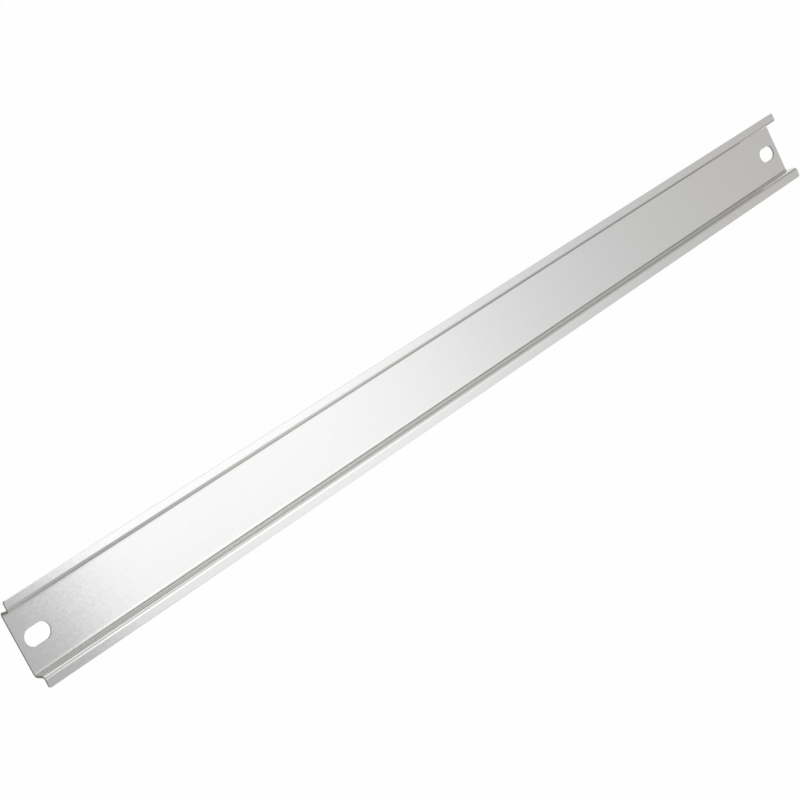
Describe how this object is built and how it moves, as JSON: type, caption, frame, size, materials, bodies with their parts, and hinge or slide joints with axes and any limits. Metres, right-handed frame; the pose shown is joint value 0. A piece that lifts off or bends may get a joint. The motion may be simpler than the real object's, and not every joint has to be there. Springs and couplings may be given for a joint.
{
  "type": "din rail",
  "caption": "Top-hat mounting rail for clip-on electrical modules: a straight rolled steel channel with out-turned flanges and a slot near each end.",
  "frame": {"origin": "middle of the web's flat back face, which lies on the floor or against the mounting surface", "axes": "+X along the rail, +Y across it, +Z out of the open channel, from the back of the web towards the flanges"},
  "size_m": [0.482, 0.035, 0.0075],
  "materials": {
    "zinc_plated_steel": "zinc plated and clear passivated, satin"
  },
  "bodies": {
    "root": {"rail": "zinc_plated_steel"}
  },
  "joints": []
}
